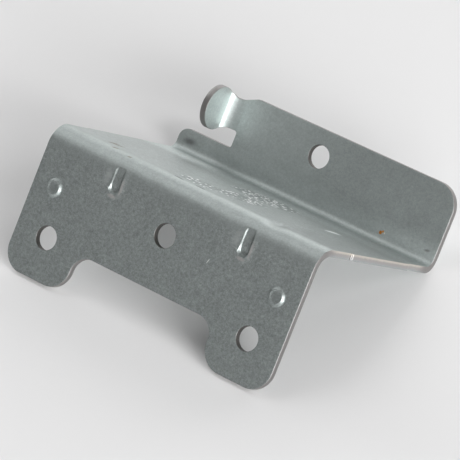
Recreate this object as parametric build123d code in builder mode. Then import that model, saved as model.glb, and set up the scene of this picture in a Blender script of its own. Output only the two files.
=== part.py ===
from build123d import *
import os
from math import asin, atan2, cos, degrees, hypot, radians, sin, sqrt

# Stamped metal bracket: one pressed and folded sheet.
# It is drawn in the sheet's own frame: X runs along the bends, Y goes back from the
# front flange's outer face, Z is up from the web's top face. The finished bracket is
# then laid on its feet and its rear bend, which is how it comes to rest on a table.

# Sheet
thickness = 1.5
front_bend_radius = 3.2  # inside radius
rear_bend_radius = 1.8  # inside radius, a tighter fold
width = 72.0
front_height = 33.0  # web's top face down to the feet
web_depth = 48.0  # front flange's outer face back to the rear flange's front face
rear_height = 17.8  # web's top face up to the rear flange's edge

# Front flange: two feet either side of a recess
recess_width = 37.6
recess_height = 9.4
recess_radius = 4.1
foot_radius = 5.1
hole_diameter = 5.3
foot_hole_spacing = 55.0
foot_hole_height = 9.4  # above the feet
centre_hole_drop = 11.9  # below the web's top face

# Raised pips above the feet, pressed out from behind
pip_spacing = 60.6
pip_drop = 13.1
pip_base_radius = 2.3
pip_top_radius = 1.45
pip_height = 0.55
pip_pocket_radius = 1.7

# Stiffening darts pressed into the front bend
dart_spacing = 35.1
dart_shift = 1.65  # the pair sits a little to the right of the middle
dart_drop = 9.0  # web's top face down to the dart's lower end
dart_width = 2.5
dart_depth = 0.9
dart_rib_width = 4.4
dart_rib_bury = 0.4  # rib's upper end, sunk into the bend's inside

# Rear flange
rear_hole_height = 11.7
rear_corner_radius = 5.6
lip_height = 5.2  # low stretch of the flange under the hook
lip_radius = 2.4
slot_end = 22.0  # left of the middle, where the slot under the hook ends
slot_radius = 0.6
shoulder_rise = 1.55  # neck's top edge up to the flange's top edge
shoulder_lead = 1.4  # foot of the rise, out over the neck from the slot's end
shoulder_run = 3.7  # along which the top edge rises from the neck to its full height
shoulder_depth = 0.6  # how far forward of the flange the bent sheet shares in the rise
shoulder_root_radius = 4.0
shoulder_radius = 1.0

# Hook: a round ear on a narrower neck, turned forward off the rear flange
hook_root = 1.0  # flat of the strip, inside the slot's end
ear_radius = 5.1
neck_width = 7.1
neck_fillet = 0.8
easy_bend_radius = 6.0
easy_bend_angle = 35.0
tight_bend_radius = 1.2
ear_reach = 2.2  # from the tight bend to the ear's centre

# Witness of the carrier strip, on both ends of the web
carrier_start = 12.8
carrier_width = 24.8
carrier_stub = 0.4

# Places that follow from the sizes above
front_outer_radius = front_bend_radius + thickness
rear_outer_radius = rear_bend_radius + thickness
foot_level = -front_height
foot_hole_level = foot_level + foot_hole_height
rib_reach = sqrt(front_bend_radius**2 - (front_bend_radius - dart_depth) ** 2)
rib_meets_bend = rib_reach - front_outer_radius
neck_top = rear_height - shoulder_rise
ear_height = neck_top - neck_width / 2
shoulder_foot = -slot_end - shoulder_lead
shoulder_head = shoulder_foot + shoulder_run
front_face = Plane(origin=(0, 0, 0), x_dir=(1, 0, 0), z_dir=(0, -1, 0))
front_back = front_face.offset(-thickness)
rear_face = front_face.offset(-web_depth)

# Hook's strip in plan: flat, an easy bend, a tight bend, then forward to the ear's tip
with BuildSketch(Plane.XY) as strip:
    with BuildLine():
        root = Line((hook_root - slot_end, web_depth), (-slot_end, web_depth))
        easy = JernArc(root @ 1, root % 1, easy_bend_radius, easy_bend_angle)
        tight = JernArc(easy @ 1, easy % 1, tight_bend_radius, 90 - easy_bend_angle)
        Line(tight @ 1, tight @ 1 - Vector(0, ear_reach + ear_radius))
        offset(amount=thickness, side=Side.RIGHT)
    make_face()
ear_centre = (tight @ 1).Y - ear_reach

# Hook: the ear and neck seen from the side, the rise beside the neck from the front
with BuildPart() as hook:
    with BuildSketch(Plane.YZ):
        with Locations((ear_centre, ear_height)):
            Circle(ear_radius)
            Rectangle(
                web_depth + thickness - ear_centre,
                neck_width,
                align=(Align.MIN, Align.CENTER),
            )
        joints = [v for v in vertices() if ear_centre < v.X < web_depth]
        fillet(joints, neck_fillet)
    extrude(amount=width, both=True)
    with BuildSketch(rear_face.offset(shoulder_depth)):
        with BuildLine():
            rise_line = FilletPolyline(
                (-width / 2, neck_top),
                (shoulder_foot, neck_top),
                (shoulder_head, rear_height),
                radius=shoulder_root_radius,
            )
            Polyline(rise_line @ 1, (shoulder_head, ear_height), (-width / 2, ear_height), rise_line @ 0)
        make_face()
    extrude(amount=-2 * thickness - shoulder_depth)
    extrude(strip.sketch, amount=2 * rear_height, mode=Mode.INTERSECT)

# Bracket
with BuildPart() as bracket:
    # Folded sheet
    with BuildSketch(Plane.YZ):
        with BuildLine():
            FilletPolyline(
                (0, foot_level),
                (0, 0),
                (web_depth, 0),
                (web_depth, rear_height),
                radius=(front_outer_radius, rear_bend_radius),
            )
            offset(amount=thickness, side=Side.RIGHT)
        make_face()
    extrude(amount=width / 2, both=True)

    # Recess between the feet
    with BuildSketch(front_face):
        with Locations((0, foot_level)):
            Rectangle(recess_width, recess_height, align=(Align.CENTER, Align.MIN))
    extrude(amount=-2 * thickness, mode=Mode.SUBTRACT)
    across = edges().filter_by(Axis.Y).group_by(Axis.Z)
    fillet(across[0], foot_radius)
    across = edges().filter_by(Axis.Y)
    recess_corners = [e for e in across if abs(e.center().Z - foot_level - recess_height) < 0.01]
    fillet(recess_corners, recess_radius)

    # Rear flange's slot, lip and corners
    with BuildSketch(rear_face):
        with Locations((-slot_end, lip_height)):
            Rectangle(width, rear_height, align=(Align.MAX, Align.MIN))
        Polygon(
            (-width, neck_top),
            (shoulder_foot, neck_top),
            (shoulder_head, rear_height),
            (-width, rear_height),
            align=None,
        )
    extrude(amount=-2 * thickness, mode=Mode.SUBTRACT)

    def upright_corner(x: float, z: float) -> ShapeList[Edge]:
        """Edges through the rear flange's thickness at one corner of its outline."""
        return ShapeList(
            e
            for e in edges().filter_by(Axis.Y)
            if e.center().Y > web_depth
            and abs(e.center().X - x) < 0.01
            and abs(e.center().Z - z) < 0.01
        )

    fillet(upright_corner(width / 2, rear_height), rear_corner_radius)
    fillet(upright_corner(-width / 2, lip_height), lip_radius)
    fillet(upright_corner(-slot_end, lip_height), slot_radius)
    fillet(upright_corner(shoulder_head, rear_height), shoulder_radius)
    add(hook.part)

    # Fixing holes
    with Locations(
        front_face * Pos(-foot_hole_spacing / 2, foot_hole_level),
        front_face * Pos(foot_hole_spacing / 2, foot_hole_level),
        front_face * Pos(0, -centre_hole_drop),
        rear_face * Pos(0, rear_hole_height),
    ):
        Hole(hole_diameter / 2, depth=2 * thickness)

    # Pips: a flat-topped cone in front, a round pocket behind
    for side in (-1, 1):
        with BuildSketch(front_face):
            with Locations((side * pip_spacing / 2, -pip_drop)):
                Circle(pip_base_radius)
        pip_taper = degrees(atan2(pip_base_radius - pip_top_radius, pip_height))
        extrude(amount=pip_height, taper=pip_taper)
        with BuildSketch(front_back):
            with Locations((side * pip_spacing / 2, -pip_drop)):
                Circle(pip_pocket_radius)
        extrude(amount=pip_height, mode=Mode.SUBTRACT)

    # Darts: a rib inside the bend first, then the groove outside it
    for side in (-1, 1):
        dart_x = dart_shift + side * dart_spacing / 2
        rib_margin = (dart_rib_width - dart_width) / 2
        with BuildSketch(front_back):
            with Locations((dart_x, -dart_drop - rib_margin)):
                Rectangle(
                    dart_rib_width,
                    dart_drop + rib_margin + rib_meets_bend + dart_rib_bury,
                    align=(Align.CENTER, Align.MIN),
                )
            fillet(vertices().group_by(Axis.Y)[0], dart_rib_width / 2 - 0.01)
        extrude(amount=-dart_depth)
        with BuildSketch(front_face):
            with Locations((dart_x, -dart_drop)):
                Rectangle(dart_width, dart_drop, align=(Align.CENTER, Align.MIN))
            fillet(vertices().group_by(Axis.Y)[0], dart_width / 2 - 0.01)
        extrude(amount=-dart_depth, mode=Mode.SUBTRACT)

    # Carrier witness on both ends of the web
    for side in (-1, 1):
        with BuildSketch(Plane.XY):
            with Locations((side * width / 2, carrier_start + carrier_width / 2)):
                Rectangle(2 * carrier_stub, carrier_width)
        extrude(amount=-thickness)

# At rest the feet's inner edges and the underside of the rear bend touch the table.
# The tilt is the slope of the line from that edge that just touches the rear bend.
run = web_depth - rear_bend_radius - thickness
rise = front_height + rear_bend_radius
tilt = degrees(atan2(rise, run) - asin(rear_outer_radius / hypot(run, rise)))


def rested(y: float, z: float) -> Vector:
    """A point of the sheet's section, turned down by the tilt about the X axis."""
    a = radians(tilt)
    return Vector(0, y * cos(a) + z * sin(a), z * cos(a) - y * sin(a))


table = rested(thickness, foot_level).Z
front_most = rested(0, foot_level).Y
back_most = rested(web_depth + thickness, rear_height).Y
rest_plane = Plane(
    origin=(0, -(front_most + back_most) / 2, -table),
    x_dir=(1, 0, 0),
    z_dir=(0, sin(radians(tilt)), cos(radians(tilt))),
)
resting = rest_plane.from_local_coords(bracket.part)
resting.label = "bracket"

os.makedirs("parts", exist_ok=True)
export_step(resting, "parts/bracket.step")
print(f"tilt {tilt:.2f} degrees, volume {resting.volume:.1f} mm3, box {resting.bounding_box()}")
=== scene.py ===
"""Stamped zinc-coated steel bracket: one folded sheet, its finish, and a plain studio."""

import logging
from dataclasses import dataclass, field
from enum import Enum
from math import asin, atan2, cos, hypot, pi, radians, sin

import bpy
import numpy as np
from mathutils import Matrix, Vector
from mathutils.geometry import delaunay_2d_cdt


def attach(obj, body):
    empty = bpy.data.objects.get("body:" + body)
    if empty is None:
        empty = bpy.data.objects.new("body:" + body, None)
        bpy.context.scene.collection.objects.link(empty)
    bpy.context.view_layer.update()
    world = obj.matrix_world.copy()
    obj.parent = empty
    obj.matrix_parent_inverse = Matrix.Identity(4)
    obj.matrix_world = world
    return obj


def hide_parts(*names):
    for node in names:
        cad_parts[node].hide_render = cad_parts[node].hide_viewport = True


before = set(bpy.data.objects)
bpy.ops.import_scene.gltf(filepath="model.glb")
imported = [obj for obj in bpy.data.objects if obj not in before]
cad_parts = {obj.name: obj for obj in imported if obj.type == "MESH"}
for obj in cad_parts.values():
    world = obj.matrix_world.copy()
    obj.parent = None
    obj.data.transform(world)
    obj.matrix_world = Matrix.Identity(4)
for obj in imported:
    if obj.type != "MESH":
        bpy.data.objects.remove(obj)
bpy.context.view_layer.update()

MM = 0.001
UV_SPAN = 100.0  # millimetres of the flat blank to one unit of its UV map
BLOCK = 3000  # points compared with all edges at a time
LOG = logging.getLogger("bracket")

Array = np.ndarray
Socket = bpy.types.NodeSocket
Place = tuple[float, float]
Spot = tuple[float, float, float]
Colour = tuple[float, float, float]
Ramp = tuple[float, float]
Band = tuple[Ramp, Ramp]
Box = tuple[float, float, float, float]


class Side(Enum):
    """The two faces of the sheet."""

    SHOW = "show"
    BACK = "back"


def ease(value: Array, low: float, high: float) -> Array:
    """Smooth step: 0 at low, 1 at high, by 3t^2 - 2t^3 of the clamped share t.

    Args:
        value: Any array of numbers.
        low: Where the step starts; may be above high for a falling step.
        high: Where the step ends.

    Returns:
        Shares from 0 to 1, shaped as value.
    """
    share = np.clip((value - low) / (high - low), 0.0, 1.0)
    return share * share * (3.0 - 2.0 * share)


def bell(value: Array, centre: float, spread: float) -> Array:
    """Gaussian bump: the exponential of minus the squared distance in spreads."""
    return np.exp(-(((value - centre) / spread) ** 2))


def new_object(name: str, data: bpy.types.ID) -> bpy.types.Object:
    """Makes an object of some data and links it to the scene."""
    made = bpy.data.objects.new(name, data)
    bpy.context.scene.collection.objects.link(made)
    return made


@dataclass(frozen=True)
class Fold:
    """The sheet's section: up the front flange, back over the web, up the rear flange.

    Lengths are in millimetres. Along the show face, v is the arc length from the feet.
    """

    thickness: float = 1.5
    front_bend: float = 3.2
    rear_bend: float = 1.8
    width: float = 72.0
    front_height: float = 33.0
    web_depth: float = 48.0
    rear_height: float = 17.8

    @property
    def outer_radius(self) -> float:
        """Outside radius of the front bend."""
        return self.front_bend + self.thickness

    @property
    def marks(self) -> tuple[float, float, float, float, float]:
        """Arc lengths at which the front bend, web, rear bend, rear flange start, and the end."""
        bend_1 = self.front_height - self.outer_radius
        web = bend_1 + self.outer_radius * pi / 2
        bend_2 = web + self.web_depth - self.outer_radius - self.rear_bend
        rear = bend_2 + self.rear_bend * pi / 2
        return bend_1, web, bend_2, rear, rear + self.rear_height - self.rear_bend

    def rear_v(self, z: float) -> float:
        """Arc length of a level z on the rear flange."""
        return self.marks[3] + z - self.rear_bend

    def web_v(self, y: float) -> float:
        """Arc length of a distance y back on the web."""
        return self.marks[1] + y - self.outer_radius

    def section(self, v: Array) -> tuple[Array, ...]:
        """Point and outward direction of the show face at arc length v.

        The flats add plain lengths and the bends add the sine and one minus the cosine
        of their turned angle times their radius; the direction turns by the front
        bend's angle less the rear bend's.

        Args:
            v: Arc lengths.

        Returns:
            y, z of the point and y, z of the outward unit direction.
        """
        bend_1, web, bend_2, rear, _ = self.marks
        turn_1 = np.clip((v - bend_1) / self.outer_radius, 0, pi / 2)
        turn_2 = np.clip((v - bend_2) / self.rear_bend, 0, pi / 2)
        y = (
            self.outer_radius * (1 - np.cos(turn_1))
            + np.clip(v - web, 0, bend_2 - web)
            + self.rear_bend * np.sin(turn_2)
        )
        z = (
            -self.front_height
            + np.minimum(v, bend_1)
            + self.outer_radius * np.sin(turn_1)
            + self.rear_bend * (1 - np.cos(turn_2))
            + np.maximum(v - rear, 0)
        )
        facing = turn_1 - turn_2
        return y, z, -np.cos(facing), np.sin(facing)

    def lay_down(self, points: Array) -> Array:
        """Turns points of the sheet's own frame to the resting frame, in metres.

        The tilt is the slope of the line from the feet's inner edge that just touches
        the rear bend: the arctangent of rise over run, less the arcsine of the rear
        bend's outside radius over their distance.

        Args:
            points: Rows of x, y, z in millimetres.

        Returns:
            Rows of x, y, z in metres, lowest point on the floor.
        """
        round_under = self.rear_bend + self.thickness
        run = self.web_depth - round_under
        rise = self.front_height + self.rear_bend
        tilt = atan2(rise, run) - asin(round_under / hypot(run, rise))
        c, s = cos(tilt), sin(tilt)
        front_most = -self.front_height * s
        back_most = (self.web_depth + self.thickness) * c + self.rear_height * s
        table = -self.front_height * c - self.thickness * s
        x, y, z = points.T
        across = y * c + z * s - (front_most + back_most) / 2
        up = z * c - y * s - table
        return np.column_stack([x, across, up]) * MM


@dataclass(frozen=True)
class Hook:
    """The round ear on its neck: an easy bend, a tight bend, then straight forward."""

    start: float = 22.0
    split: float = 7.0
    easy_radius: float = 6.0
    easy_angle: float = radians(35.0)
    tight_radius: float = 1.2
    reach: float = 2.2
    ear_radius: float = 5.1
    neck_width: float = 7.1
    neck_top: float = 16.25
    root_y: float = 48.0

    @property
    def centre_z(self) -> float:
        """Level of the ear's centre."""
        return self.neck_top - self.neck_width / 2

    def bend(self, run: Array) -> tuple[Array, Array, Array]:
        """Plan of the show face at arc length run from the slot's end.

        Each bend adds its radius times the change of sine to the left and the change
        of cosine forward, and the rest of the run goes straight forward.

        Args:
            run: Arc lengths, 0 at the slot's end.

        Returns:
            Distance to the left, distance forward, and the turned angle.
        """
        easy_run = self.easy_radius * self.easy_angle
        rest_angle = pi / 2 - self.easy_angle
        tight_run = self.tight_radius * rest_angle
        turn_1 = np.clip(run / self.easy_radius, 0, self.easy_angle)
        turn_2 = np.clip((run - easy_run) / self.tight_radius, 0, rest_angle)
        straight = np.maximum(run - easy_run - tight_run, 0)
        turned = turn_1 + turn_2
        left = self.easy_radius * np.sin(turn_1) + self.tight_radius * (
            np.sin(self.easy_angle + turn_2) - sin(self.easy_angle)
        )
        forward = (
            self.easy_radius * (1 - np.cos(turn_1))
            + self.tight_radius * (cos(self.easy_angle) - np.cos(self.easy_angle + turn_2))
            + straight
        )
        return left, forward, turned

    def outline(self) -> tuple[Array, Array, float]:
        """Ear's edge, as run and level, from the neck's top round to its underside.

        Seen from the side the ear is a circle; its distance forward is turned back
        into arc length through the bends.

        Returns:
            Runs and levels of the edge, and the run at which the ear meets the neck.
        """
        runs = np.linspace(0, 14, 1401)
        forward = self.bend(runs)[1]
        rest_angle = pi / 2 - self.easy_angle
        straight_from = self.easy_radius * self.easy_angle + self.tight_radius * rest_angle
        centre = self.bend(np.array([straight_from]))[1][0] + self.reach
        meet = asin(self.neck_width / 2 / self.ear_radius)
        clear = radians(6)  # leaves room for the neck's fillets
        turn = np.linspace(meet + clear, 2 * pi - meet - clear, 84)
        ahead = centre - self.ear_radius * np.cos(turn)
        run = np.interp(ahead, forward, runs)
        level = self.centre_z + self.ear_radius * np.sin(turn)
        neck = centre - self.ear_radius * cos(meet)
        return run, level, float(np.interp(neck, forward, runs))


@dataclass(frozen=True)
class Loop:
    """A closed edge of the flat blank: points and their outward directions."""

    points: Array
    outward: Array


def rounded_loop(corners: list[tuple[float, float, float]], step: float) -> Loop:
    """Closed polygon with its corners rounded, sampled evenly; the material is on its left.

    A corner's arc starts a tangent length before it, radius times the tangent of half
    the turn, and runs about a centre that stands one radius to the turning side.

    Args:
        corners: u, v and radius of each corner; a radius of 0 keeps a plain point.
        step: Longest distance between samples on the straights.

    Returns:
        The sampled loop.
    """
    spots = np.array([c[:2] for c in corners])
    spans = []
    for i, (_, _, radius) in enumerate(corners):
        here = spots[i]
        before = here - spots[i - 1]
        after = spots[(i + 1) % len(spots)] - here
        before, after = before / np.linalg.norm(before), after / np.linalg.norm(after)
        turn = atan2(before[0] * after[1] - before[1] * after[0], before @ after)
        if radius == 0:
            spans.append(here[None])
            continue
        begin = here - before * radius * np.tan(abs(turn) / 2)
        side = np.sign(turn) * np.array([-before[1], before[0]])
        centre = begin + side * radius
        angles = np.linspace(0, turn, max(6, int(radius * abs(turn) / 0.22)) + 1)
        arm = begin - centre
        c, s = np.cos(angles), np.sin(angles)
        swung = np.column_stack([arm[0] * c - arm[1] * s, arm[0] * s + arm[1] * c])
        spans.append(centre + swung)
    path = []
    for i, span in enumerate(spans):
        path.append(span)
        follow = spans[(i + 1) % len(spans)][0]
        gap = follow - span[-1]
        count = int(np.linalg.norm(gap) / step)
        if count:
            share = np.arange(1, count + 1)[:, None] / (count + 1)
            path.append(span[-1] + gap * share)
    return with_outward(np.vstack(path))


def with_outward(points: Array) -> Loop:
    """Loop whose outward directions are the chord of the two neighbours, turned right."""
    chord = np.roll(points, -1, 0) - np.roll(points, 1, 0)
    outward = np.column_stack([chord[:, 1], -chord[:, 0]])
    return Loop(points, outward / np.linalg.norm(outward, axis=1)[:, None])


def hole_loop(u: float, v: float, radius: float, count: int = 72) -> Loop:
    """Round hole: a circle run clockwise, so that the material is on its left."""
    turn = np.linspace(0, -2 * pi, count, endpoint=False)
    circle = np.column_stack([u + radius * np.cos(turn), v + radius * np.sin(turn)])
    return with_outward(circle)


def depth_inside(points: Array, loops: list[Loop]) -> Array:
    """Distance of each point into the material, from the nearest edge sample's direction.

    Args:
        points: Rows of u, v.
        loops: All edges of the blank.

    Returns:
        Positive inside the material, negative outside it.
    """
    edge = np.vstack([loop.points for loop in loops])
    outward = np.vstack([loop.outward for loop in loops])
    found = []
    for block in np.array_split(points, max(1, len(points) // BLOCK)):
        gap = block[:, None, :] - edge[None, :, :]
        near = np.argmin((gap**2).sum(2), axis=1)
        rows = np.arange(len(block))
        found.append(-(gap[rows, near] * outward[near]).sum(1))
    return np.concatenate(found)


def enclosed(points: Array, start: Array, end: Array) -> Array:
    """Even-odd test: a point is inside if a ray towards +u crosses an odd number of edges.

    Args:
        points: Rows of u, v.
        start: First ends of all edges.
        end: Second ends of all edges.

    Returns:
        True for each point inside.
    """
    rise = np.where(end[:, 1] == start[:, 1], 1.0, end[:, 1] - start[:, 1])
    slope = (end[:, 0] - start[:, 0]) / rise
    found = []
    for block in np.array_split(points, max(1, len(points) // BLOCK)):
        u, v = block[:, :1], block[:, 1:]
        spans = (start[:, 1] > v) != (end[:, 1] > v)
        crossing = start[:, 0] + (v - start[:, 1]) * slope
        found.append(((spans & (u < crossing)).sum(1) % 2) == 1)
    return np.concatenate(found)


@dataclass(frozen=True)
class Press:
    """Forms pressed into the front flange, and the damage behind the front bend.

    Lengths are in millimetres. A ramp is the start and the end of a smooth step; the
    dart's ramps are measured out from half its width.
    """

    pip_spacing: float = 60.6
    pip_drop: float = 13.1
    pip_base: float = 2.3
    pip_top: float = 1.45
    pip_height: float = 0.55
    pip_pocket: float = 1.7
    pip_bead: float = 0.15
    bead_spread: float = 0.24
    dart_centres: tuple[float, float] = (-16.05, 18.95)
    dart_depths: tuple[float, float] = (0.26, 0.34)
    dart_drop: float = 8.8
    dart_width: float = 2.5
    rib_width: float = 4.4
    steep_wall: Ramp = (0.12, -0.30)
    shoulder: float = 0.4
    shoulder_wall: Ramp = (2.0, -0.1)
    end_deeper: float = 0.9
    top_deeper: float = 0.5
    rim: float = 0.2
    rim_wall: Ramp = (1.5, 0.15)
    rim_gap: float = 0.85
    halo: float = 0.08
    halo_rings: tuple[float, float] = (4.7, 6.5)
    halo_spread: float = 0.7
    dent: float = 0.46
    dent_x: float = 21.4
    dent_spread: float = 2.3
    crease: float = 0.14
    crease_at: Place = (21.6, 18.6)
    crease_slant: float = 0.175
    crease_spread: float = 0.7
    knock: float = 0.12
    knock_at: Place = (20.5, 29.9)
    knock_spread: Place = (1.1, 2.0)
    flange_ramp: Ramp = (-2.0, -6.0)
    flange_back: float = 10.0
    web_ramp: Ramp = (-4.5, -1.0)
    web_back: float = 44.0

    def pips(self, x: Array, z: Array, side: Side) -> Array:
        """Height of both pips: in front a smooth fall with a bead on it, behind the pocket."""
        height = np.zeros_like(x)
        for sign in (-1, 1):
            reach = np.hypot(x - sign * self.pip_spacing / 2, z + self.pip_drop)
            if side is Side.SHOW:
                top = ease(reach, self.pip_base, self.pip_top - 0.1)
                bead = bell(reach, self.pip_top + 0.05, self.bead_spread)
                height += (self.pip_height - self.pip_bead) * top + self.pip_bead * bead
            else:
                pocket = ease(reach, self.pip_pocket + 0.25, self.pip_pocket - 0.35)
                height += self.pip_height * pocket
        return height

    def dart(self, x: Array, z: Array, centre: float, side: Side) -> tuple[Array, Array, Array]:
        """One dart's groove and the metal raised round it.

        All go by the distance from a middle line that ends half a width above the
        dart's lower end. The wall is steep, with a soft shoulder on the left. The
        groove is deeper near its lower end and towards the crest. A low rim stands
        close round it in front, and two low rings lie further out.

        Args:
            x: Places along the bends.
            z: Levels.
            centre: Place of the dart's middle line.
            side: Which face is meant.

        Returns:
            Groove as a share of the dart's depth, height of the rim, height of the rings.
        """
        width = self.dart_width if side is Side.SHOW else self.rib_width
        low_end = -self.dart_drop + self.dart_width / 2
        away = np.hypot(x - centre, np.maximum(low_end - z, 0))

        def wall(ramp: Ramp) -> Array:
            """Smooth step over a ramp measured out from half the width."""
            return ease(away, width / 2 + ramp[0], width / 2 + ramp[1])

        groove = steep = wall(self.steep_wall)
        rim = np.zeros_like(x)
        if side is Side.SHOW:
            lean = ease(x, centre + 0.9, centre - 0.9) * ease(z, low_end - 0.2, low_end + 1.4)
            soft = self.shoulder * lean
            deeper = 1 + self.end_deeper * bell(z, low_end - 0.4, 0.9)
            deeper += self.top_deeper * ease(z, -6.0, -1.5)
            groove = deeper * ((1 - soft) * steep + soft * wall(self.shoulder_wall))
            rim = self.rim * wall(self.rim_wall) * (1 - self.rim_gap * lean) * (1 - steep)
        rings = self.halo * sum(bell(away, ring, self.halo_spread) for ring in self.halo_rings)
        return groove, rim, rings

    def damage(self, x: Array, y: Array) -> Array:
        """Depth of the dent and the crease, less the knock's height; each is a bell across."""
        dip = self.dent * bell(x, self.dent_x, self.dent_spread)
        dip *= ease(y, 1.0, 4.0) * ease(y, 11.0, 4.6)
        line = self.crease_at[0] + self.crease_slant * (y - self.crease_at[1])
        length = ease(y, 12.5, 15.0) * ease(y, 25.5, 23.0)
        dip += self.crease * bell(x, line, self.crease_spread) * length
        spot = bell(x, self.knock_at[0], self.knock_spread[0])
        return dip - self.knock * spot * bell(y, self.knock_at[1], self.knock_spread[1])

    def shape(self, points: Array, side: Side, thickness: float) -> Array:
        """Presses the forms into one face, in the sheet's own frame.

        Pips, rims and rings move the front flange's face forward along y. A dart
        pushes it back to a floor parallel to the flange, as the larger of the face's
        own distance and the floor's. The damage lowers the web's face along z.

        Args:
            points: Rows of x, y, z.
            side: Which face the points are on.
            thickness: Sheet thickness.

        Returns:
            The moved rows.
        """
        x, y, z = points.T
        front = y < self.flange_back
        flange = ease(z, *self.flange_ramp) * front
        base = 0.0 if side is Side.SHOW else thickness
        pressed = y - self.pips(x, z, side) * flange
        for centre, depth in zip(self.dart_centres, self.dart_depths):
            groove, rim, rings = self.dart(x, z, centre, side)
            floor = base + depth * groove
            pressed -= rim * flange
            pressed = np.where((floor > base) & front, np.maximum(pressed, floor), pressed)
            pressed -= rings * flange
        web = ease(z, *self.web_ramp) * (y < self.web_back)
        return np.column_stack([x, pressed, z - self.damage(x, y) * web])


@dataclass(frozen=True)
class Oval:
    """A soft-edged oval on the show face: place and half sizes on the flat blank, in mm.

    The turn is in radians, and soft is the share of the size over which it fades.
    """

    at: Place
    half: Place
    turn: float
    soft: float


@dataclass(frozen=True)
class PaintedSpot(Oval):
    """An oval with a colour of its own: a stain, a scratch, a painted highlight or painted shade.
    """

    colour: Colour
    strength: float


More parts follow.
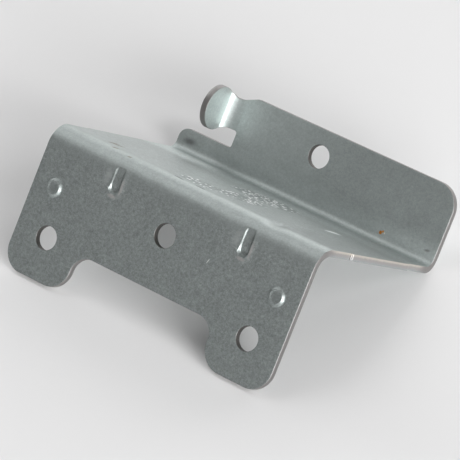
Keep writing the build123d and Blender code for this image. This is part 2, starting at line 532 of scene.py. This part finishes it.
@dataclass(frozen=True)
class Zinc:
    """Dull zinc-coated steel, with bare sheared edges, small marks of handling, and painted light
    and shade: by area, round the darts, on the pips, crease and knock, in the holes, at the
    carrier steps and round the pricks.

    Bands and ramps are smooth steps over the blank's coordinates, in millimetres.
    """

    base: Colour = (0.342, 0.374, 0.368)
    metallic: float = 0.9
    flange_rough: float = 0.50
    web_rough: float = 0.42
    web_band: Band = ((33.0, 38.5), (77.0, 73.0))
    bent_band: Band = ((27.0, 30.0), (38.5, 36.0))
    # Strip about the rear bend: painted light, and a little rougher.
    lit_strip_band: Band = ((64.0, 71.0), (85.0, 80.0))
    rear_worn: Ramp = (70.0, 79.0)
    # Where the painted light and shade by area goes.
    rear_flange: Ramp = (80.0, 84.0)
    hookward: Ramp = (16.0, -22.0)
    ear: Band = ((-26.0, -29.0), (84.0, 86.0))
    right_end: Ramp = (12.0, 34.0)
    past_bend: Ramp = (28.0, 33.0)
    lift: float = 0.88
    # Painted light and shade by area, in order: past the front bend lighter, the web's right end
    # darker, the strip about the rear bend lighter, the rear flange towards the hook lighter, the
    # ear darker.
    painted_area_lifts: tuple[float, ...] = (0.11, -0.17, 0.30, 0.36, -0.44)
    # Layers of the cut edge by depth from the show face; the bright band at the show face is
    # partly a painted highlight.
    edge_bands: tuple[tuple[float, Colour], ...] = (
        (0.05, (0.54, 0.51, 0.46)),
        (0.22, (0.50, 0.47, 0.43)),
        (0.40, (0.36, 0.345, 0.33)),
        (0.70, (0.35, 0.35, 0.35)),
        (0.95, (0.38, 0.40, 0.405)),
    )
    worn_edge: tuple[Colour, Colour] = ((0.25, 0.24, 0.235), (0.27, 0.265, 0.26))
    step_lines: tuple[float, float] = (43.5, 68.9)
    # painted shade line at each step of the carrier stub
    step_shade_colour: Colour = (0.10, 0.09, 0.08)
    hole_places: tuple[Place, ...] = ((-27.5, 9.4), (27.5, 9.4), (0.0, 21.1), (0.0, 89.91))
    hole_reach: Place = (3.2, 3.2)
    # painted shade on the hole walls
    hole_shade_colour: Colour = (0.10, 0.095, 0.09)
    prick_patches: tuple[Oval, ...] = (
        Oval((1.0, 62.5), (9.0, 8.0), 0.25, 0.3),
        Oval((3.5, 48.5), (5.5, 8.0), -0.1, 0.3),
        Oval((-3.0, 41.5), (5.5, 5.5), 0.3, 0.3),
    )
    prick_cells: tuple[float, float, float] = (1.45, 0.80, 1.0)
    # painted shade round the pricks
    hollow_shade_colour: Colour = (0.17, 0.20, 0.195)
    bump_height: float = 0.00004
    marks: tuple[PaintedSpot, ...] = (
        PaintedSpot((-4.6, 35.0), (1.9, 0.30), -0.11, 0.5, (0.07, 0.07, 0.07), 0.85),
        PaintedSpot((1.1, 35.2), (1.8, 0.30), -0.10, 0.5, (0.09, 0.09, 0.08), 0.85),
        PaintedSpot((-25.7, 39.4), (0.8, 2.4), -0.06, 0.6, (0.11, 0.09, 0.055), 0.85),
        PaintedSpot((-24.3, 39.4), (0.8, 2.0), -0.5, 0.6, (0.12, 0.10, 0.06), 0.85),
        PaintedSpot((-21.8, 34.7), (1.2, 0.5), 0.4, 0.6, (0.13, 0.11, 0.07), 0.7),
        PaintedSpot((-17.0, 33.6), (0.8, 0.30), 0.3, 0.8, (0.13, 0.10, 0.06), 0.8),
        PaintedSpot((21.4, 80.5), (0.50, 0.55), 0.0, 0.5, (0.50, 0.20, 0.03), 1.0),
        PaintedSpot((21.9, 80.9), (0.30, 0.35), 0.0, 0.5, (0.60, 0.28, 0.06), 1.0),
        PaintedSpot((33.6, 81.2), (1.1, 0.45), 0.2, 0.9, (0.13, 0.12, 0.11), 0.6),
        PaintedSpot((-32.6, 80.8), (2.6, 1.2), 0.1, 0.9, (0.13, 0.13, 0.13), 0.65),
        # Painted light round both darts: a band below the lower end, a strip right of the groove
        # and a patch left of it.
        *(
            mark
            for u in (-15.9, 19.1)  # round both darts
            for mark in (
                PaintedSpot((u, 23.7), (1.5, 0.55), 0.0, 0.7, (0.50, 0.46, 0.45), 0.5),
                PaintedSpot((u + 1.6, 26.2), (0.5, 2.6), 0.0, 0.8, (0.50, 0.46, 0.45), 0.45),
                PaintedSpot((u - 2.8, 27.0), (1.4, 3.0), 0.0, 1.0, (0.50, 0.52, 0.52), 0.4),
            )
        ),
        # Painted shade on the tops of both pips.
        *(PaintedSpot((u, 19.9), (1.3, 1.3), 0.0, 0.7, (0.22, 0.24, 0.24), 0.5) for u in (-30.3, 30.3)),
        PaintedSpot((12.0, 20.3), (0.14, 0.75), -0.35, 0.5, (0.80, 0.84, 0.82), 0.8),
        # Painted shade along the crease on the web.
        PaintedSpot((21.7, 49.8), (0.20, 5.3), -0.175, 0.6, (0.14, 0.16, 0.16), 0.8),
        # Painted highlight on the knock on the web.
        PaintedSpot((20.4, 60.9), (1.4, 2.9), -0.3, 0.6, (0.85, 0.90, 0.88), 0.85),
        # Painted highlight beside the orange speck.
        PaintedSpot((22.4, 80.7), (0.22, 0.26), 0.0, 0.5, (0.80, 0.76, 0.64), 0.9),
    )

    def prick_marks(self, tree: "Wires") -> tuple[object, object]:
        """Patches of small random prick marks on the web, at the cells of a scattered net.

        Args:
            tree: Where the nodes go.

        Returns:
            Share of the prick with its painted glint, and of the painted shade round it.
        """
        inputs = {"Vector": tree.blank, "Scale": self.prick_cells}
        squeezed = tree.node("ShaderNodeMapping", inputs).outputs[0]
        cells = tree.node("ShaderNodeTexVoronoi", {"Vector": squeezed, "Scale": 1.0}).outputs
        chance = tree.node("ShaderNodeSeparateXYZ", {0: cells["Color"]}).outputs[0]
        chosen = tree.range(chance, 0.42, 0.50)
        pricks_and_glints = tree.range(cells["Distance"], 0.46, 0.32)
        hollow_shade = tree.range(cells["Distance"], 0.40, 0.60)
        patch: object = 0.0
        for oval in self.prick_patches:
            patch = tree.math("MAXIMUM", patch, tree.oval(tree.blank, oval))
        pricks_and_glints = tree.math("MULTIPLY", tree.math("MULTIPLY", pricks_and_glints, chosen), patch)
        return pricks_and_glints, tree.math("MULTIPLY", hollow_shade, patch)

    def painted_area_light(self, tree: "Wires", web: object, lit_strip: object) -> object:
        """Painted light and shade by area, as a factor of the base colour: lighter past the front
        bend, on the strip about the rear bend and on the rear flange towards the hook, darker at
        the web's right end and on the ear.

        Args:
            tree: Where the nodes go.
            web: Share of web.
            lit_strip: Share of the strip about the rear bend that gets painted light.

        Returns:
            The factor.
        """
        rear = tree.range(tree.along, *self.rear_flange)
        to_hook = tree.math("MULTIPLY", tree.range(tree.across, *self.hookward), rear)
        ear_across, ear_along = self.ear
        on_ear = tree.math(
            "MULTIPLY", tree.range(tree.across, *ear_across), tree.range(tree.along, *ear_along)
        )
        beyond = tree.range(tree.along, *self.past_bend)
        right_web = tree.math("MULTIPLY", tree.range(tree.across, *self.right_end), web)
        lift: object = self.lift
        shares = (beyond, right_web, lit_strip, to_hook, on_ear)
        for share, amount in zip(shares, self.painted_area_lifts):
            lift = tree.math("MULTIPLY_ADD", share, amount, lift)
        return lift

    def sheared(self, tree: "Wires", web: object, grain: object) -> object:
        """Colour of the cut edge: layers on the web, their show-face band partly a painted
        highlight, plain wear elsewhere, painted shade on the hole walls.

        Args:
            tree: Where the nodes go.
            web: Share of web.
            grain: Noise that roughens the layers' borders.

        Returns:
            The colour, with a painted shade line at each step of the carrier stub.
        """
        bands = tree.node("ShaderNodeValToRGB")
        stops = bands.color_ramp.elements
        ends = ((stops[0], self.edge_bands[0]), (stops[1], self.edge_bands[-1]))
        for stop, (position, colour) in ends:
            stop.position, stop.color = position, (*colour, 1)
        for position, colour in self.edge_bands[1:-1]:
            stops.new(position).color = (*colour, 1)
        ragged = tree.math("MULTIPLY_ADD", tree.math("SUBTRACT", grain, 0.5), 0.35, tree.depth)
        tree.join(ragged, bands.inputs[0])
        near, far = [(*colour, 1.0) for colour in self.worn_edge]
        worn = tree.mix(tree.range(tree.depth, 0.6, 0.9), near, far)
        # painted shade on the walls of the holes
        for at in self.hole_places:
            inside = tree.oval(tree.blank, Oval(at, self.hole_reach, 0.0, 0.1))
            worn = tree.mix(inside, worn, (*self.hole_shade_colour, 1.0))
        edge = tree.mix(web, worn, bands.outputs[0])
        # painted shade line at each step of the carrier stub
        for at in self.step_lines:
            line = tree.band(tree.along, ((at - 0.3, at), (at + 0.3, at)))
            edge = tree.mix(line, edge, (*self.step_shade_colour, 1.0))
        return edge

    def make(self) -> bpy.types.Material:
        """Material: mottled grain, painted light and shade by area, glossier web, layered edges,
        marks with painted highlights and shade, and fine bump.

        Returns:
            The finished material.
        """
        material = bpy.data.materials.new("zinc_steel")
        material.use_nodes = True
        tree = Wires(material.node_tree)
        shader = material.node_tree.nodes["Principled BSDF"]
        shown = tree.range(tree.depth, 0.3, 0.1)
        web = tree.band(tree.along, self.web_band)
        bent = tree.band(tree.along, self.bent_band)
        # strip about the rear bend: painted light in the colour, more roughness
        lit_strip = tree.band(tree.along, self.lit_strip_band)
        cloudy = tree.noise(tree.place, 260.0, 5.0, 0.6)
        grain = tree.noise(tree.place, 1500.0, 4.0, 0.65)
        speck = tree.noise(tree.place, 3600.0, 2.0, 0.5)
        worn = tree.math("MAXIMUM", tree.range(tree.along, *self.rear_worn), bent)
        worn = tree.math("MULTIPLY_ADD", worn, -0.55, 1.0)
        fine = tree.math("MULTIPLY_ADD", speck, 0.7, grain)
        fine = tree.math("MULTIPLY", tree.math("SUBTRACT", fine, 0.85), worn)
        tone = tree.math("ADD", fine, tree.math("MULTIPLY_ADD", cloudy, 0.26, 0.87))
        # painted light and shade by area
        lift = self.painted_area_light(tree, web, lit_strip)
        colour = tree.scaled(self.base, tree.math("MULTIPLY", tone, lift))
        # stains and scratches, and painted highlights and shade
        for mark in self.marks:
            inside = tree.math("MULTIPLY", tree.oval(tree.blank, mark), shown)
            inside = tree.math("MULTIPLY", inside, mark.strength)
            colour = tree.mix(inside, colour, (*mark.colour, 1.0))
        pricks_and_glints, hollow_shade = [tree.math("MULTIPLY", share, shown) for share in self.prick_marks(tree)]
        # painted shade round the pricks, then painted glints on them
        colour = tree.mix(tree.math("MULTIPLY", hollow_shade, 0.6), colour, (*self.hollow_shade_colour, 1.0))
        colour = tree.mix(pricks_and_glints, colour, (1.0, 1.0, 1.0, 1.0))
        edge = self.sheared(tree, web, grain)
        tree.join(tree.mix(tree.edge, colour, edge), shader.inputs["Base Color"])
        shown_web = tree.math("MULTIPLY", web, shown)
        gloss = self.web_rough - self.flange_rough
        rough = tree.math("MULTIPLY_ADD", shown_web, gloss, self.flange_rough - 0.05)
        for share, amount in ((bent, 0.03), (lit_strip, 0.07), (grain, 0.12)):
            rough = tree.math("MULTIPLY_ADD", share, amount, rough)
        tree.join(rough, shader.inputs["Roughness"])
        shader.inputs["Metallic"].default_value = self.metallic
        height = tree.math("MULTIPLY_ADD", pricks_and_glints, 4.0, grain)
        inputs = {"Strength": 0.5, "Distance": self.bump_height, "Height": height}
        bump = tree.node("ShaderNodeBump", inputs)
        tree.join(bump.outputs["Normal"], shader.inputs["Normal"])
        return material


class Wires:
    """Helper that adds nodes to a tree and joins them, and knows where on the sheet it is.

    Place is in metres in space; blank, across and along are millimetres on the flat
    blank. Edge is 1 on the cut edge. Depth is 0 on the show face and 1 on the back.
    """

    def __init__(self, tree: bpy.types.NodeTree) -> None:
        """Keeps the tree, and adds the nodes that read the place on the sheet."""
        self.tree = tree
        unit = self.node("ShaderNodeUVMap", uv_map="blank").outputs[0]
        self.blank = self.scaled(unit, UV_SPAN)
        split = self.node("ShaderNodeSeparateXYZ", {0: self.blank}).outputs
        self.across, self.along = split[0], split[1]
        self.place = self.node("ShaderNodeTexCoord").outputs["Object"]
        self.edge, self.depth = [
            self.node("ShaderNodeAttribute", attribute_name=name).outputs["Fac"]
            for name in ("edge", "depth")
        ]

    def node(self, kind: str, inputs: dict | None = None, **settings: object) -> bpy.types.Node:
        """Adds a node of a kind, sets its properties and fills its inputs."""
        made = self.tree.nodes.new(kind)
        for name, value in settings.items():
            setattr(made, name, value)
        for name, value in (inputs or {}).items():
            self.join(value, made.inputs[name])
        return made

    def join(self, source: object, target: Socket) -> None:
        """Links a socket to a target, or writes a plain value into it."""
        if isinstance(source, Socket):
            self.tree.links.new(source, target)
        else:
            target.default_value = source

    def math(self, operation: str, *values: object) -> Socket:
        """Adds a Math node over the given sockets or numbers."""
        made = self.node("ShaderNodeMath", dict(enumerate(values)), operation=operation)
        return made.outputs[0]

    def noise(self, place: object, scale: float, detail: float, rough: float) -> Socket:
        """Adds fractal noise at a scale, in cells per metre."""
        inputs = {"Vector": place, "Scale": scale, "Detail": detail, "Roughness": rough}
        return self.node("ShaderNodeTexNoise", inputs).outputs[0]

    def range(self, value: object, low: float, high: float) -> Socket:
        """Smooth step from 0 at low to 1 at high."""
        start = 0.0 if low < high else 1.0
        inputs = {"Value": value, "From Min": min(low, high), "From Max": max(low, high)}
        inputs.update({"To Min": start, "To Max": 1.0 - start})
        made = self.node("ShaderNodeMapRange", inputs, interpolation_type="SMOOTHSTEP")
        return made.outputs["Result"]

    def band(self, value: object, band: Band) -> Socket:
        """Product of a band's two smooth steps: 1 between them, 0 outside."""
        rise, fall = band
        return self.math("MULTIPLY", self.range(value, *rise), self.range(value, *fall))

    def oval(self, place: object, oval: Oval) -> Socket:
        """Share inside an oval: 1, falling to 0 at its rim over the soft part of its size."""
        inputs = {"Vector": place, "Location": (*oval.at, 0.0), "Scale": (*oval.half, 1.0)}
        inputs["Rotation"] = (0.0, 0.0, oval.turn)
        moved = self.node("ShaderNodeMapping", inputs, vector_type="TEXTURE").outputs[0]
        length = self.node("ShaderNodeVectorMath", {0: moved}, operation="LENGTH")
        return self.range(length.outputs["Value"], 1.0, 1.0 - oval.soft)

    def scaled(self, vector: object, factor: object) -> Socket:
        """Multiplies a vector or a plain colour by a factor."""
        inputs = {0: vector, "Scale": factor}
        return self.node("ShaderNodeVectorMath", inputs, operation="SCALE").outputs[0]

    def mix(self, share: object, first: object, second: object) -> Socket:
        """Mixes two colours by a share."""
        inputs = {0: share, 6: first, 7: second}
        return self.node("ShaderNodeMix", inputs, data_type="RGBA").outputs[2]


@dataclass
class Bracket:
    """The whole folded sheet as one closed skin."""

    fold: Fold = field(default_factory=Fold)
    hook: Hook = field(default_factory=Hook)
    press: Press = field(default_factory=Press)
    recess_width: float = 37.6
    recess_height: float = 9.4
    recess_radius: float = 4.1
    foot_radius: float = 5.1
    hole_diameter: float = 5.3
    foot_hole_spacing: float = 55.0
    foot_hole_height: float = 9.4
    centre_hole_drop: float = 11.9
    rear_hole_height: float = 11.7
    rear_corner_radius: float = 5.6
    lip_height: float = 5.2
    lip_radius: float = 2.4
    slot_radius: float = 0.6
    shoulder_lead: float = 1.4
    shoulder_run: float = 3.7
    shoulder_root_radius: float = 4.0
    shoulder_radius: float = 1.0
    stub_start: float = 12.8
    stub_width: float = 24.8
    stub: float = 0.4
    rollover: float = 0.12
    burr: float = 0.06
    step: float = 0.4
    lattice: float = 0.56
    press_lattice: float = 0.13
    hook_lattice: float = 0.22
    damage_lattice: float = 0.3
    press_margin: float = 2.6
    neck_fillet: float = 0.8
    edge_shares: tuple[float, float] = (0.25, 0.6)

    def loops(self) -> list[Loop]:
        """Edges of the flat blank: the outline with its hook, and the four holes.

        Returns:
            The outline first, then the holes.
        """
        fold, hook = self.fold, self.hook
        half, recess = fold.width / 2, self.recess_width / 2
        top, lip = fold.marks[4], fold.rear_v(self.lip_height)
        neck_high = fold.rear_v(hook.neck_top)
        neck_low = fold.rear_v(hook.neck_top - hook.neck_width)
        foot = -hook.start - self.shoulder_lead
        run, level, meet = hook.outline()
        joint = -hook.start - meet
        ear = [(-hook.start - r, fold.rear_v(z), 0.0) for r, z in zip(run, level)]
        corners = [
            (-half, 0, self.foot_radius),
            (-recess, 0, self.foot_radius),
            (-recess, self.recess_height, self.recess_radius),
            (recess, self.recess_height, self.recess_radius),
            (recess, 0, self.foot_radius),
            (half, 0, self.foot_radius),
            *[(half, v, 0.0) for v in self.stub_steps()],
            (half, top, self.rear_corner_radius),
            (foot + self.shoulder_run, top, self.shoulder_radius),
            (foot, neck_high, self.shoulder_root_radius),
            (joint, neck_high, self.neck_fillet),
            *ear,
            (joint, neck_low, self.neck_fillet),
            (-hook.start, neck_low, self.slot_radius),
            (-hook.start, lip, self.slot_radius),
            (-half, lip, self.lip_radius),
            *[(-half, v, 0.0) for v in reversed(self.stub_steps())],
        ]
        across = self.foot_hole_spacing / 2
        holes = (
            (-across, self.foot_hole_height),
            (across, self.foot_hole_height),
            (0, fold.front_height - self.centre_hole_drop),
            (0, fold.rear_v(self.rear_hole_height)),
        )
        outline = rounded_loop(corners, self.step)
        return [outline, *[hole_loop(u, v, self.hole_diameter / 2) for u, v in holes]]

    def lattice_points(self, loops: list[Loop]) -> Array:
        """Even lattice over the blank, finer at the pips, darts, hook and damage.

        Args:
            loops: The blank's edges.

        Returns:
            Rows of u, v that lie inside the material.
        """
        fold, press = self.fold, self.press
        pip_v = fold.front_height - press.pip_drop
        dart_v = fold.front_height - press.dart_drop
        margin, fine = self.press_margin, self.press_lattice
        patches: list[tuple[Box, float]] = []
        for dart_u in press.dart_centres:
            box = (dart_u - margin, dart_u + margin, dart_v - 1.6, fold.marks[1])
            patches.append((box, fine))
        for pip_u in (-press.pip_spacing / 2, press.pip_spacing / 2):
            box = (pip_u - margin, pip_u + margin, pip_v - margin, pip_v + margin)
            patches.append((box, fine))
        hook = (-fold.width / 2, -self.hook.start, fold.rear_v(self.hook.split), fold.marks[4] + 1)
        patches.append((hook, self.hook_lattice))
        damage = (16.6, 23.4, fold.web_v(5.0), fold.web_v(34.0))
        patches.append((damage, self.damage_lattice))

        def grid(box: Box, pitch: float) -> Array:
            """Rows of u, v at an even pitch over a box."""
            u = np.arange(box[0], box[1] + pitch / 2, pitch)
            v = np.arange(box[2], box[3] + pitch / 2, pitch)
            return np.column_stack([a.ravel() for a in np.meshgrid(u, v, indexing="ij")])

        def within(points: Array, box: Box) -> Array:
            """Which points lie in a box or close beside it."""
            rim = 0.12
            u, v = points.T
            in_u = (u > box[0] - rim) & (u < box[1] + rim)
            return in_u & (v > box[2] - rim) & (v < box[3] + rim)

        whole = grid((-fold.width / 2, fold.width / 2, 0, fold.marks[4]), self.lattice)
        for box, _ in patches:
            whole = whole[~within(whole, box)]
        parts = [whole[depth_inside(whole, loops) > self.rollover + 0.2]]
        for box, pitch in patches:
            part = grid(box, pitch)
            parts.append(part[depth_inside(part, loops) > self.rollover + 0.1])
        return np.vstack(parts)

    def stub_steps(self) -> list[float]:
        """Arc lengths just before and after both ends of the carrier stub."""
        start = self.fold.web_v(self.stub_start)
        ends = (start, start + self.stub_width)
        beside = (-0.06, -0.02, 0.02, 0.06)
        return [end + shift for end in ends for shift in beside]

    def stretch(self, u: Array, v: Array) -> Array:
        """Carrier stubs: the last 2 mm of the web's ends grow by the stub, over its width."""
        start = self.fold.web_v(self.stub_start)
        end = start + self.stub_width
        along = ease(v, start - 0.05, start + 0.05) * ease(v, end + 0.05, end - 0.05)
        edge = self.fold.width / 2
        return u + np.sign(u) * self.stub * along * ease(np.abs(u), edge - 2.0, edge - 0.2)

    def surface(self, blank: Array, depth: Array) -> Array:
        """Folds blank points, at a depth below the show face, into the sheet's own frame.

        The section gives y and z for v. Left of the slot's end and above the slot, the
        hook's plan replaces x and y. The depth is taken against the outward direction.

        Args:
            blank: Rows of u, v.
            depth: Depth of each row below the show face.

        Returns:
            Rows of x, y, z.
        """
        u, v = blank.T
        y, z, face_y, face_z = self.fold.section(v)
        x = self.stretch(u, v)
        hooked = (u < -self.hook.start) & (v > self.fold.rear_v(self.hook.split))
        left, forward, turned = self.hook.bend(np.maximum(-self.hook.start - u, 0))
        x = np.where(hooked, -self.hook.start - left, x)
        y = np.where(hooked, self.hook.root_y - forward, y)
        face_x = np.where(hooked, np.sin(turned), 0.0)
        face_y = np.where(hooked, -np.cos(turned), face_y)
        face_z = np.where(hooked, 0.0, face_z)
        facing = np.column_stack([face_x, face_y, face_z])
        return np.column_stack([x, y, z]) - depth[:, None] * facing

    def ring_profile(self) -> list[tuple[float, float]]:
        """Inset and depth of the rings that carry the edge from the show face to the back.

        The show side rolls over on a quarter circle, the wall is plain, and the back
        side breaks in a small bevel.

        Returns:
            Inset and depth of each ring, from the show face to the back.
        """
        t, r, b = self.fold.thickness, self.rollover, self.burr
        turn = np.radians([18, 36, 54, 72, 90])
        rolled = [(r * (1 - sin(a)), r * (1 - cos(a))) for a in turn]
        return [*rolled, (0.0, t * 0.5), (0.0, t - b), (b * 0.35, t - b * 0.35), (b, t)]

    def triangles(self, flat: Array, contour: Array, follow: Array) -> Array:
        """Triangulates the blank and keeps what lies inside its edges.

        The area test is on twice a triangle's area, and drops slivers on the edges.

        Args:
            flat: Rows of u, v, the contour's first.
            contour: Rows of u, v along all edges.
            follow: Number of the row after each row of the contour.

        Returns:
            Rows of three point numbers.
        """
        out, _, faces, *_ = delaunay_2d_cdt(
            [Vector(p) for p in flat.tolist()],
            np.column_stack([np.arange(len(contour)), follow]).tolist(),
            [],
            0,
            1e-7,
        )
        assert len(out) == len(flat), "the blank's points merged"
        found = np.array(faces)
        a, b, c = (flat[found[:, i]] for i in range(3))
        ab, ac = b - a, c - a
        real = np.abs(ab[:, 0] * ac[:, 1] - ac[:, 0] * ab[:, 1]) > 1e-5
        return found[real & enclosed((a + b + c) / 3, contour, contour[follow])]

    def build(self) -> bpy.types.Object:
        """Meshes the sheet: both faces from one triangulated blank, and the edge between.

        Returns:
            The finished object, riding on the root body.
        """
        loops = self.loops()
        edge = np.vstack([loop.points for loop in loops])
        outward = np.vstack([loop.outward for loop in loops])
        contour = edge - outward * self.rollover
        flat = np.vstack([contour, self.lattice_points(loops)])
        follow, first = [], 0
        for loop in loops:
            index = np.arange(first, first + len(loop.points))
            follow.append(np.roll(index, -1))
            first += len(loop.points)
        follow = np.concatenate(follow)
        triangles = self.triangles(flat, contour, follow)
        thickness, count, rim = self.fold.thickness, len(flat), len(edge)
        show, back = [
            self.press.shape(self.surface(flat, np.full(count, depth)), side, thickness)
            for depth, side in ((0.0, Side.SHOW), (thickness, Side.BACK))
        ]
        profile = self.ring_profile()
        rings = [(edge - outward * inset, np.full(rim, depth)) for inset, depth in profile]
        folded = [self.surface(points, depth) for points, depth in rings]
        points = np.vstack([show, *folded, back])
        blank = np.vstack([flat, *[ring for ring, _ in rings], flat])
        starts = [0, *[count + rim * i for i in range(len(rings) + 1)]]
        here = np.arange(rim)
        quads = np.vstack(
            [
                np.column_stack([upper + here, lower + here, lower + follow, upper + follow])
                for upper, lower in zip(starts, starts[1:])
            ]
        )
        tris = np.vstack([triangles, triangles[:, ::-1] + starts[-1]])
        share = np.zeros(len(points))
        share[count : count + rim], share[count + rim : count + rim * 2] = self.edge_shares
        share[count + rim * 2 : count + rim * (len(rings) - 1)] = 1.0
        through = [np.zeros(count), *[depth / thickness for _, depth in rings], np.ones(count)]
        shares = {"edge": share, "depth": np.concatenate(through)}
        return self.mesh(self.fold.lay_down(points), tris, quads, blank, shares)

    def mesh(
        self, points: Array, tris: Array, quads: Array, blank: Array, shares: dict[str, Array]
    ) -> bpy.types.Object:
        """Writes the arrays into a mesh object with its blank coordinates and shares.

        Args:
            points: Rows of x, y, z in metres.
            tris: Rows of three vertex numbers.
            quads: Rows of four vertex numbers.
            blank: Rows of u, v in millimetres.
            shares: Named number for each point, such as 1 on the sheared edge.

        Returns:
            The object.
        """
        data = bpy.data.meshes.new("bracket_sheet")
        corners = np.concatenate([tris.ravel(), quads.ravel()]).astype(np.int32)
        sizes = np.concatenate([np.full(len(tris), 3), np.full(len(quads), 4)])
        data.vertices.add(len(points))
        data.vertices.foreach_set("co", points.astype(np.float32).ravel())
        data.loops.add(len(corners))
        data.loops.foreach_set("vertex_index", corners)
        data.polygons.add(len(sizes))
        data.polygons.foreach_set("loop_start", (np.cumsum(sizes) - sizes).astype(np.int32))
        data.update(calc_edges=True)
        layer = data.uv_layers.new(name="blank")
        layer.data.foreach_set("uv", (blank[corners] / UV_SPAN).astype(np.float32).ravel())
        for name, values in shares.items():
            share = data.attributes.new(name, "FLOAT", "POINT")
            share.data.foreach_set("value", values.astype(np.float32))
        data.validate()
        data.shade_smooth()
        piece = new_object("bracket_sheet", data)
        data.materials.append(Zinc().make())
        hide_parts("bracket")
        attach(piece, "root")
        return piece


@dataclass(frozen=True)
class Lamp:
    """Square soft lamp that faces the bracket, placed by its turn about Z and its height.

    Turn and height are angles in degrees, size and away are in metres, power in watts.
    """

    name: str
    turn: float
    height: float
    size: float
    power: float
    away: float = 2.4

    def place(self) -> bpy.types.Object:
        """Hangs the lamp at its distance along the two angles."""
        data = bpy.data.lights.new(self.name, "AREA")
        data.shape = "SQUARE"
        data.size = self.size
        data.energy = self.power
        lamp = new_object(self.name, data)
        turn, height = radians(self.turn), radians(self.height)
        at = Vector((cos(turn) * cos(height), sin(turn) * cos(height), sin(height))) * self.away
        lamp.location = at
        lamp.rotation_euler = (-at).to_track_quat("-Z", "Y").to_euler()
        return lamp


@dataclass(frozen=True)
class Studio:
    """Pale floor, soft lamps and the camera, in metres."""

    floor_tone: Colour = (0.735, 0.733, 0.735)
    floor_flat: float = 1.9
    floor_reach: float = 2.3
    floor_rise: float = 0.14
    floor_spokes: int = 96
    world_tone: Colour = (0.05, 0.05, 0.05)
    lamps: tuple[Lamp, ...] = (
        Lamp("right_front_low", -40, 12, 1.0, 52.0),
        Lamp("right_low", -20, 12, 1.0, 63.0),
        Lamp("right", 0, 35, 1.4, 19.4),
        Lamp("back", 90, 20, 2.2, 33.0),
        Lamp("left_back", 123, 23, 1.2, 8.5),
        Lamp("left", 160, 18, 1.4, 24.0),
        Lamp("left_high", 169, 60, 1.2, 11.5),
        Lamp("left_front", 240, 35, 1.2, 2.9),
    )
    camera_at: Spot = (0.3572, -0.45034, 0.42076)
    right: Spot = (0.77745, 0.628835, 0.01176)
    up: Spot = (-0.37478, 0.448193, 0.81159)
    back: Spot = (0.50508, -0.635375, 0.584134)
    lens: float = 257.2

    def floor(self) -> bpy.types.Object:
        """Round floor: flat under the bracket, then rising smoothly to a low rim.

        Each point is a radius and a turn; its height is the rim's height times a
        smooth step of the radius from the flat's end to the floor's reach.

        Returns:
            The floor.
        """
        radii = np.concatenate([[0.4, 1.5], np.linspace(self.floor_flat, self.floor_reach, 24)])
        spokes = self.floor_spokes
        turns = np.linspace(0, 2 * pi, spokes, endpoint=False)
        radius, turn = [a.ravel() for a in np.meshgrid(radii, turns, indexing="ij")]
        height = self.floor_rise * ease(radius, self.floor_flat, self.floor_reach)
        points = np.column_stack([radius * np.cos(turn), radius * np.sin(turn), height])
        pairs = np.meshgrid(np.arange(len(radii) - 1), np.arange(spokes), indexing="ij")
        ring, spoke = [a.ravel() for a in pairs]
        inner, outer, after = ring * spokes, ring * spokes + spokes, (spoke + 1) % spokes
        faces = np.column_stack([inner + spoke, outer + spoke, outer + after, inner + after])
        data = bpy.data.meshes.new("floor")
        data.from_pydata(points.tolist(), [], [list(range(spokes)), *faces.tolist()])
        data.shade_smooth()
        piece = new_object("floor", data)
        material = bpy.data.materials.new("floor_paper")
        material.use_nodes = True
        shader = material.node_tree.nodes["Principled BSDF"]
        shader.inputs["Base Color"].default_value = (*self.floor_tone, 1)
        shader.inputs["Roughness"].default_value = 1.0
        shader.inputs["Specular IOR Level"].default_value = 0.0
        data.materials.append(material)
        return piece

    def camera(self) -> None:
        """Camera at its fixed place, by its three axes."""
        data = bpy.data.cameras.new("camera")
        data.lens, data.sensor_width = self.lens, 36.0
        data.clip_start, data.clip_end = 0.01, 20.0
        made = new_object("camera", data)
        turn = Matrix((self.right, self.up, self.back)).transposed().to_4x4()
        made.matrix_world = Matrix.Translation(Vector(self.camera_at)) @ turn
        bpy.context.scene.camera = made

    def build(self) -> None:
        """Sets up the floor, the lamps, the world and the camera."""
        self.floor()
        for lamp in self.lamps:
            lamp.place()
        world = bpy.data.worlds.new("studio")
        world.use_nodes = True
        world.node_tree.nodes["Background"].inputs[0].default_value = (*self.world_tone, 1)
        bpy.context.scene.world = world
        self.camera()
        bpy.context.scene.view_settings.view_transform = "Standard"


def main() -> None:
    """Builds the bracket and its studio."""
    logging.basicConfig(level=logging.INFO, format="%(name)s %(message)s")
    piece = Bracket().build()
    LOG.info("%s: %d faces", piece.name, len(piece.data.polygons))
    Studio().build()
    LOG.info("studio ready")


if __name__ == "__main__":
    main()
